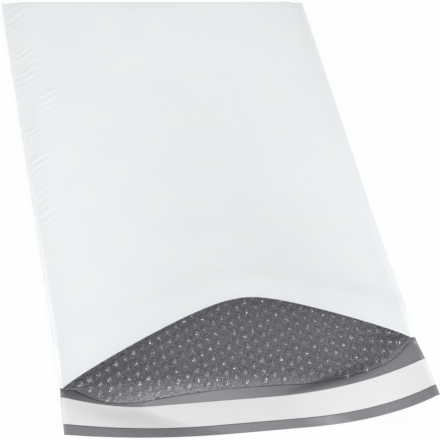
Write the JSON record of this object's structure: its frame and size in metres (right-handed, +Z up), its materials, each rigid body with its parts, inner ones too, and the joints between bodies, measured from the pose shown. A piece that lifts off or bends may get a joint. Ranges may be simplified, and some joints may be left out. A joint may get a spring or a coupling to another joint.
{
  "type": "poly bubble mailer",
  "caption": "Empty film mailer lined with bubble film, lying on its back with the mouth arched open and a closing lip under a peel-off liner.",
  "frame": {"origin": "on the surface it lies on, under the middle of the mailer's bounding box", "axes": "+Y along the mailer from the lip towards the closed end, +Z up from the surface, +X to the right seen from the lip's end"},
  "size_m": [0.3638, 0.5597, 0.1009],
  "materials": {
    "white_film": "satin polyethylene film, white outside and grey inside",
    "bubble_film": "clear bubble film over the grey inside of the outer film",
    "glue": "pressure-sensitive adhesive",
    "liner": "smooth white release film"
  },
  "bodies": {
    "root": {"outer_film": "white_film", "bubble_lining": "bubble_film", "adhesive_strip": "glue", "release_liner": "liner"}
  },
  "joints": []
}
